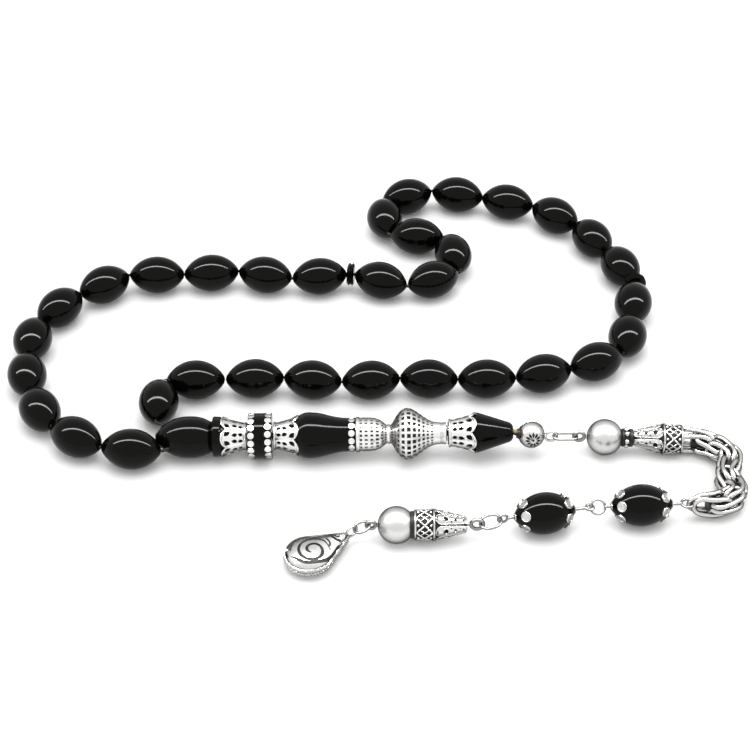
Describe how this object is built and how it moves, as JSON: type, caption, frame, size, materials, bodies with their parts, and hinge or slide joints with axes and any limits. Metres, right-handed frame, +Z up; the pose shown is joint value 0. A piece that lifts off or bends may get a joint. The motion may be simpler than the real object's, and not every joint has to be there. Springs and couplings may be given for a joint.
{
  "type": "misbaha prayer beads",
  "caption": "Loop of black barley-shaped beads with marker discs, a long silver-mounted head and a tassel of silver cones, chain, capped beads and a teardrop pendant.",
  "frame": {"origin": "middle of the whole outline seen from above, on the table plane that the beads lie on", "axes": "+X along the head, from the loop towards the tassel; +Y across the loop, away from the head; +Z up from the table"},
  "size_m": [0.1668, 0.1404, 0.0115],
  "materials": {
    "bead_black": "polished black, faintly brown",
    "stone_black": "polished black",
    "head_black": "turned and polished black",
    "string": "fine twisted dark thread",
    "filigree_silver": "pierced and engraved silver, darkened in its recesses",
    "polished_silver": "polished silver",
    "oxidised_silver": "oxidised silver"
  },
  "bodies": {
    "head": {"head_base": "head_black", "head_studded_ring": "head_black", "head_barrel": "head_black", "head_cone": "head_black", "head_silverwork": "filigree_silver", "string_head": "string"},
    "lower_row": {"string_lower_row": "string"},
    "right_side": {"string_right_side": "string", "marker_disc_1": "bead_black"},
    "upper_row": {"string_upper_row": "string", "marker_disc_2": "bead_black"},
    "flower_ball": {"flower_ball": "filigree_silver"},
    "ball_link": {"ball_link": "polished_silver"},
    "upper_cone": {"upper_cone": "filigree_silver"},
    "upper_ball": {"upper_ball": "polished_silver"},
    "chain_link_1": {"chain_link_1": "oxidised_silver"},
    "chain_link_2": {"chain_link_2": "oxidised_silver"},
    "chain_link_3": {"chain_link_3": "oxidised_silver"},
    "stone_a_caps": {"stone_a_caps": "filigree_silver"},
    "stone_a": {"stone_a": "stone_black"},
    "stone_b_caps": {"stone_b_caps": "filigree_silver"},
    "stone_b": {"stone_b": "stone_black"},
    "joining_link": {"joining_link": "polished_silver"},
    "lower_cone": {"lower_cone": "filigree_silver"},
    "lower_ball": {"lower_ball": "polished_silver"},
    "pendant_ring": {"pendant_ring": "polished_silver"},
    "pendant": {"pendant": "filigree_silver"},
    "bead_01": {"bead_01": "bead_black"},
    "bead_02": {"bead_02": "bead_black"},
    "bead_03": {"bead_03": "bead_black"},
    "bead_04": {"bead_04": "bead_black"},
    "bead_05": {"bead_05": "bead_black"},
    "bead_06": {"bead_06": "bead_black"},
    "bead_07": {"bead_07": "bead_black"},
    "bead_08": {"bead_08": "bead_black"},
    "bead_09": {"bead_09": "bead_black"},
    "bead_10": {"bead_10": "bead_black"},
    "bead_11": {"bead_11": "bead_black"},
    "bead_12": {"bead_12": "bead_black"},
    "bead_13": {"bead_13": "bead_black"},
    "bead_14": {"bead_14": "bead_black"},
    "bead_15": {"bead_15": "bead_black"},
    "bead_16": {"bead_16": "bead_black"},
    "bead_17": {"bead_17": "bead_black"},
    "bead_18": {"bead_18": "bead_black"},
    "bead_19": {"bead_19": "bead_black"},
    "bead_20": {"bead_20": "bead_black"},
    "bead_21": {"bead_21": "bead_black"},
    "bead_22": {"bead_22": "bead_black"},
    "bead_23": {"bead_23": "bead_black"},
    "bead_24": {"bead_24": "bead_black"},
    "bead_25": {"bead_25": "bead_black"},
    "bead_26": {"bead_26": "bead_black"},
    "bead_27": {"bead_27": "bead_black"},
    "bead_28": {"bead_28": "bead_black"},
    "bead_29": {"bead_29": "bead_black"},
    "bead_30": {"bead_30": "bead_black"},
    "bead_31": {"bead_31": "bead_black"},
    "bead_32": {"bead_32": "bead_black"},
    "bead_33": {"bead_33": "bead_black"}
  },
  "joints": [
    {"name": "loop_fold", "type": "hinge", "parent": "head", "child": "lower_row", "pos_m": [-0.03282, -0.00989, 0.0045], "axis": [0, 0, 1], "range_deg": [-8, 20]},
    {"name": "right_corner", "type": "hinge", "parent": "lower_row", "child": "right_side", "pos_m": [0.05911, -0.00061, 0.0045], "axis": [0, 0, 1], "range_deg": [-20, 8]},
    {"name": "left_corner", "type": "hinge", "parent": "head", "child": "upper_row", "pos_m": [-0.06982, 0.02264, 0.0045], "axis": [0, 0, 1], "range_deg": [-8, 20]},
    {"name": "flower_ball_swing", "type": "hinge", "parent": "head", "child": "flower_ball", "pos_m": [0.03287, -0.03057, 0.006], "axis": [0, 0, 1], "range_deg": [-2, 12]},
    {"name": "ball_link_swing", "type": "hinge", "parent": "flower_ball", "child": "ball_link", "pos_m": [0.04117, -0.02997, 0.0046], "axis": [0, 0, 1], "range_deg": [-2, 15]},
    {"name": "upper_cone_swing", "type": "hinge", "parent": "ball_link", "child": "upper_cone", "pos_m": [0.04567, -0.02947, 0.00425], "axis": [0, 0, 1], "range_deg": [-2, 15]},
    {"name": "chain_1_swing", "type": "hinge", "parent": "upper_cone", "child": "chain_link_1", "pos_m": [0.06867, -0.02957, 0.0035], "axis": [0, 0, 1], "range_deg": [-1, 12]},
    {"name": "chain_2_swing", "type": "hinge", "parent": "chain_link_1", "child": "chain_link_2", "pos_m": [0.07917, -0.03517, 0.003], "axis": [0, 0, 1], "range_deg": [-1, 15]},
    {"name": "chain_3_swing", "type": "hinge", "parent": "chain_link_2", "child": "chain_link_3", "pos_m": [0.07897, -0.04707, 0.0031], "axis": [0, 0, 1], "range_deg": [-1, 15]},
    {"name": "stone_a_swing", "type": "hinge", "parent": "chain_link_3", "child": "stone_a_caps", "pos_m": [0.06807, -0.05157, 0.00455], "axis": [0, 0, 1], "range_deg": [-1, 15]},
    {"name": "stone_b_swing", "type": "hinge", "parent": "stone_a_caps", "child": "stone_b_caps", "pos_m": [0.04737, -0.05277, 0.00455], "axis": [0, 0, 1], "range_deg": [-2, 15]},
    {"name": "joining_link_swing", "type": "hinge", "parent": "stone_b_caps", "child": "joining_link", "pos_m": [0.02757, -0.05647, 0.00455], "axis": [0, 0, 1], "range_deg": [-3, 15]},
    {"name": "lower_cone_swing", "type": "hinge", "parent": "joining_link", "child": "lower_cone", "pos_m": [0.02387, -0.05747, 0.004], "axis": [0, 0, 1], "range_deg": [-3, 15]},
    {"name": "pendant_ring_swing", "type": "hinge", "parent": "lower_cone", "child": "pendant_ring", "pos_m": [-0.00013, -0.05777, 0.00405], "axis": [0, 0, 1], "range_deg": [-5, 15]},
    {"name": "pendant_lift", "type": "hinge", "parent": "pendant_ring", "child": "pendant", "pos_m": [-0.00273, -0.05817, 0.0032], "axis": [-0.5878, 0.809, 0], "range_deg": [0, 30]},
    {"name": "upper_ball_spin", "type": "hinge", "parent": "upper_cone", "child": "upper_ball", "pos_m": [0.05217, -0.0295, 0.00404], "axis": [0.9995, -0.0043, -0.0326], "continuous": true},
    {"name": "lower_ball_spin", "type": "hinge", "parent": "lower_cone", "child": "lower_ball", "pos_m": [0.00587, -0.0577, 0.00404], "axis": [-0.9999, -0.0125, 0.0021], "continuous": true},
    {"name": "stone_a_spin", "type": "hinge", "parent": "stone_a_caps", "child": "stone_a", "pos_m": [0.05799, -0.05215, 0.00455], "axis": [-0.9983, -0.0579, 0], "continuous": true},
    {"name": "stone_b_spin", "type": "hinge", "parent": "stone_b_caps", "child": "stone_b", "pos_m": [0.03725, -0.05466, 0.00455], "axis": [-0.983, -0.1837, 0], "continuous": true},
    {"name": "bead_01_spin", "type": "hinge", "parent": "head", "child": "bead_01", "pos_m": [-0.04743, -0.01787, 0.0045], "axis": [0.0175, 0.9998, 0], "continuous": true},
    {"name": "bead_02_spin", "type": "hinge", "parent": "head", "child": "bead_02", "pos_m": [-0.03956, -0.01, 0.0045], "axis": [0.9998, 0.0175, 0], "continuous": true},
    {"name": "bead_03_spin", "type": "hinge", "parent": "lower_row", "child": "bead_03", "pos_m": [-0.02608, -0.00953, 0.0045], "axis": [0.9986, 0.0523, 0], "continuous": true},
    {"name": "bead_04_spin", "type": "hinge", "parent": "lower_row", "child": "bead_04", "pos_m": [-0.01282, -0.01, 0.0045], "axis": [0.9925, -0.1219, 0], "continuous": true},
    {"name": "bead_05_spin", "type": "hinge", "parent": "lower_row", "child": "bead_05", "pos_m": [0.00045, -0.01011, 0.0045], "axis": [0.9945, 0.1045, 0], "continuous": true},
    {"name": "bead_06_spin", "type": "hinge", "parent": "lower_row", "child": "bead_06", "pos_m": [0.01371, -0.00965, 0.0045], "axis": [0.9994, -0.0349, 0], "continuous": true},
    {"name": "bead_07_spin", "type": "hinge", "parent": "lower_row", "child": "bead_07", "pos_m": [0.02693, -0.00965, 0.0045], "axis": [0.9994, 0.0349, 0], "continuous": true},
    {"name": "bead_08_spin", "type": "hinge", "parent": "lower_row", "child": "bead_08", "pos_m": [0.04006, -0.00769, 0.0045], "axis": [0.9659, 0.2588, 0], "continuous": true},
    {"name": "bead_09_spin", "type": "hinge", "parent": "lower_row", "child": "bead_09", "pos_m": [0.0526, -0.00337, 0.0045], "axis": [0.9205, 0.3907, 0], "continuous": true},
    {"name": "bead_10_spin", "type": "hinge", "parent": "right_side", "child": "bead_10", "pos_m": [0.0607, 0.00628, 0.0045], "axis": [0.225, 0.9744, 0], "continuous": true},
    {"name": "bead_11_spin", "type": "hinge", "parent": "right_side", "child": "bead_11", "pos_m": [0.06334, 0.01923, 0.0045], "axis": [0.1736, 0.9848, 0], "continuous": true},
    {"name": "bead_12_spin", "type": "hinge", "parent": "right_side", "child": "bead_12", "pos_m": [0.06164, 0.03411, 0.0045], "axis": [-0.3907, 0.9205, 0], "continuous": true},
    {"name": "bead_13_spin", "type": "hinge", "parent": "right_side", "child": "bead_13", "pos_m": [0.05573, 0.04597, 0.0045], "axis": [-0.5, 0.866, 0], "continuous": true},
    {"name": "bead_14_spin", "type": "hinge", "parent": "right_side", "child": "bead_14", "pos_m": [0.04712, 0.05605, 0.0045], "axis": [-0.7771, 0.6293, 0], "continuous": true},
    {"name": "bead_15_spin", "type": "hinge", "parent": "right_side", "child": "bead_15", "pos_m": [0.03538, 0.06216, 0.0045], "axis": [-0.9613, 0.2756, 0], "continuous": true},
    {"name": "bead_16_spin", "type": "hinge", "parent": "right_side", "child": "bead_16", "pos_m": [0.02263, 0.06557, 0.0045], "axis": [-0.9703, 0.2419, 0], "continuous": true},
    {"name": "bead_17_spin", "type": "hinge", "parent": "right_side", "child": "bead_17", "pos_m": [0.00963, 0.06467, 0.0045], "axis": [-0.9272, -0.3746, 0], "continuous": true},
    {"name": "bead_18_spin", "type": "hinge", "parent": "right_side", "child": "bead_18", "pos_m": [0.00383, 0.05482, 0.0045], "axis": [0.1219, -0.9925, 0], "continuous": true},
    {"name": "bead_19_spin", "type": "hinge", "parent": "right_side", "child": "bead_19", "pos_m": [0.01189, 0.04689, 0.0045], "axis": [0.9945, -0.1045, 0], "continuous": true},
    {"name": "bead_20_spin", "type": "hinge", "parent": "right_side", "child": "bead_20", "pos_m": [0.02073, 0.0392, 0.0045], "axis": [0.2419, -0.9703, 0], "continuous": true},
    {"name": "bead_21_spin", "type": "hinge", "parent": "upper_row", "child": "bead_21", "pos_m": [0.01557, 0.02861, 0.0045], "axis": [-0.9135, -0.4067, 0], "continuous": true},
    {"name": "bead_22_spin", "type": "hinge", "parent": "upper_row", "child": "bead_22", "pos_m": [0.00279, 0.02828, 0.0045], "axis": [-0.9336, 0.3584, 0], "continuous": true},
    {"name": "bead_23_spin", "type": "hinge", "parent": "upper_row", "child": "bead_23", "pos_m": [-0.01216, 0.02998, 0.0045], "axis": [-0.9903, -0.1392, 0], "continuous": true},
    {"name": "bead_24_spin", "type": "hinge", "parent": "upper_row", "child": "bead_24", "pos_m": [-0.0254, 0.03056, 0.0045], "axis": [-0.9744, 0.225, 0], "continuous": true},
    {"name": "bead_25_spin", "type": "hinge", "parent": "upper_row", "child": "bead_25", "pos_m": [-0.03864, 0.03137, 0.0045], "axis": [-0.9945, -0.1045, 0], "continuous": true},
    {"name": "bead_26_spin", "type": "hinge", "parent": "upper_row", "child": "bead_26", "pos_m": [-0.05185, 0.03056, 0.0045], "axis": [-0.9998, -0.0175, 0], "continuous": true},
    {"name": "bead_27_spin", "type": "hinge", "parent": "upper_row", "child": "bead_27", "pos_m": [-0.06428, 0.02652, 0.0045], "axis": [-0.8192, -0.5736, 0], "continuous": true},
    {"name": "bead_28_spin", "type": "hinge", "parent": "head", "child": "bead_28", "pos_m": [-0.07399, 0.01731, 0.0045], "axis": [-0.6157, -0.788, 0], "continuous": true},
    {"name": "bead_29_spin", "type": "hinge", "parent": "head", "child": "bead_29", "pos_m": [-0.0789, 0.00515, 0.0045], "axis": [-0.1045, -0.9945, 0], "continuous": true},
    {"name": "bead_30_spin", "type": "hinge", "parent": "head", "child": "bead_30", "pos_m": [-0.07844, -0.00812, 0.0045], "axis": [0.1736, -0.9848, 0], "continuous": true},
    {"name": "bead_31_spin", "type": "hinge", "parent": "head", "child": "bead_31", "pos_m": [-0.0739, -0.02057, 0.0045], "axis": [0.5, -0.866, 0], "continuous": true},
    {"name": "bead_32_spin", "type": "hinge", "parent": "head", "child": "bead_32", "pos_m": [-0.06468, -0.02996, 0.0045], "axis": [0.8572, -0.515, 0], "continuous": true},
    {"name": "bead_33_spin", "type": "hinge", "parent": "head", "child": "bead_33", "pos_m": [-0.05212, -0.03404, 0.0045], "axis": [0.9962, -0.0872, 0], "continuous": true}
  ],
  "couplings": [
    {"joint": "right_corner", "follows": "loop_fold", "ratio": -1},
    {"joint": "left_corner", "follows": "loop_fold", "ratio": 1}
  ]
}
